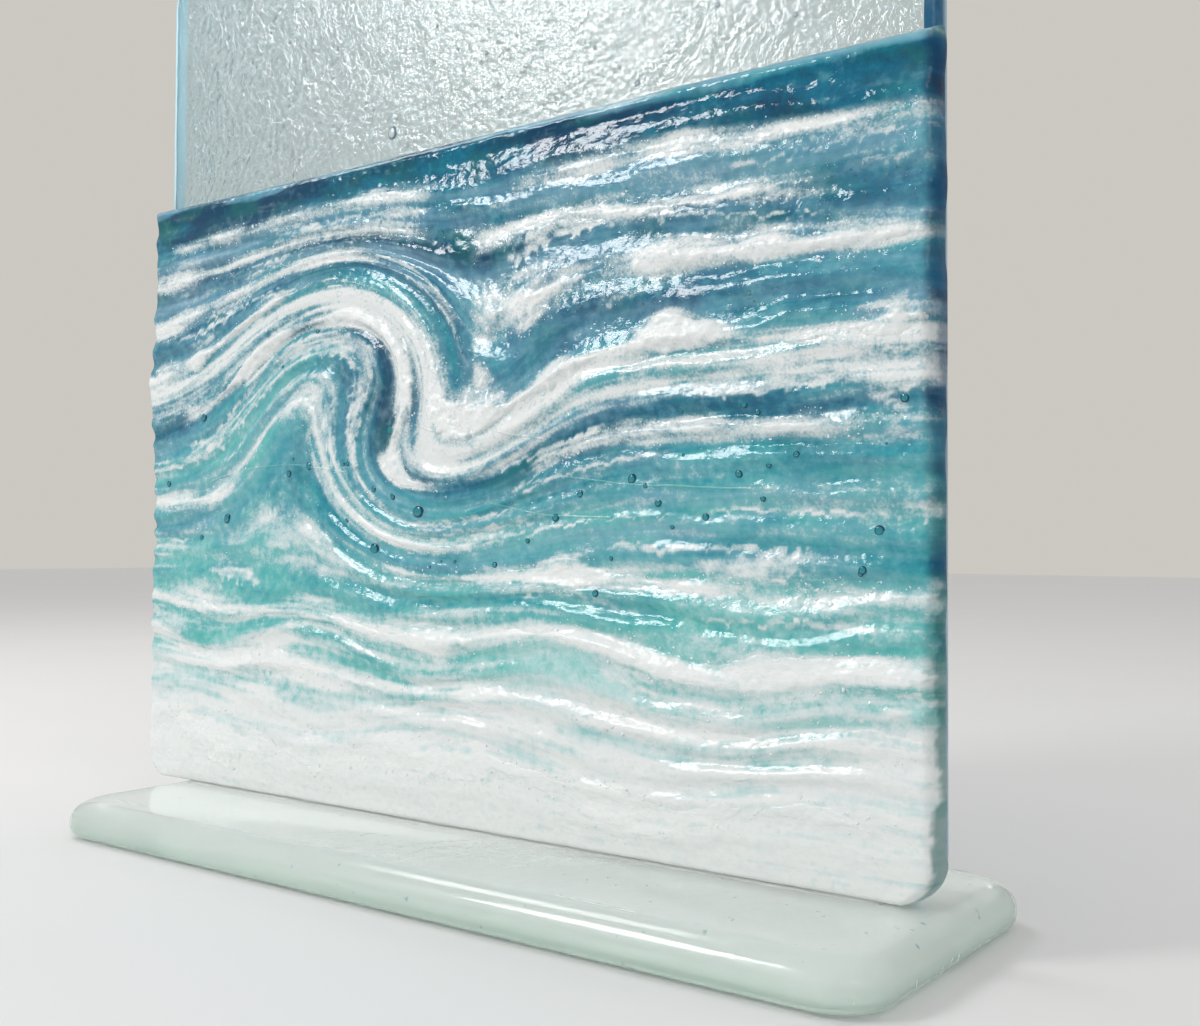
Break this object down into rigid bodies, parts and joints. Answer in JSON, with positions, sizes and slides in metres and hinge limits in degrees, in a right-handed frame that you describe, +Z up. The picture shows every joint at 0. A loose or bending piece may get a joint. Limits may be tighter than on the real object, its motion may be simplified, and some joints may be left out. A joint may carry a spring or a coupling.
{
  "type": "fused glass seascape panel on a base",
  "caption": "Upright kiln-fused glass panel with a clear rippled sky above a raised sea of coloured glass strips and white frit foam, bonded to a rounded green glass base slab",
  "frame": {"origin": "on the table, at the middle of the whole outline", "axes": "+Z up; the picture faces -Y; +X is to the right as the picture is seen"},
  "size_m": [0.2092, 0.066, 0.2082],
  "materials": {
    "base_glass": "pale green float glass, fire polished",
    "sky_glass": "clear rippled sheet glass",
    "deep_glass": "deep blue fused sheet glass, glossy",
    "slate_glass": "slate blue fused sheet glass, glossy",
    "turquoise_glass": "turquoise fused sheet glass, glossy",
    "aqua_glass": "pale aqua fused sheet glass, glossy",
    "wash_glass": "milky aqua fused sheet glass, glossy",
    "white_opal": "white opal glass, glossy",
    "clear_frit": "clear and white coarse frit, glossy",
    "bond_adhesive": "clear cured adhesive"
  },
  "bodies": {
    "root": {"back_sheet": "sky_glass", "base_slab": "base_glass", "bond_film": "bond_adhesive", "crest_foam": "white_opal", "crest_strip": "aqua_glass", "face_foam": "white_opal", "face_stringers": "clear_frit", "far_foam_left": "white_opal", "far_foam_right": "white_opal", "far_swell_strip": "slate_glass", "foot_foam": "white_opal", "frit_grains": "clear_frit", "horizon_strip": "deep_glass", "lip_foam": "white_opal", "lower_face_strip": "aqua_glass", "lower_wash_foam": "white_opal", "lower_wash_strip": "wash_glass", "mid_foam_left": "white_opal", "mid_foam_right": "white_opal", "mid_swell_strip": "deep_glass", "near_foam_left": "white_opal", "near_foam_right": "white_opal", "near_swell_strip": "slate_glass", "shore_foam": "white_opal", "shore_strip": "white_opal", "trough_foam": "white_opal", "trough_strip": "turquoise_glass", "upper_face_strip": "turquoise_glass", "upper_wash_foam": "white_opal", "upper_wash_strip": "wash_glass"}
  },
  "joints": []
}
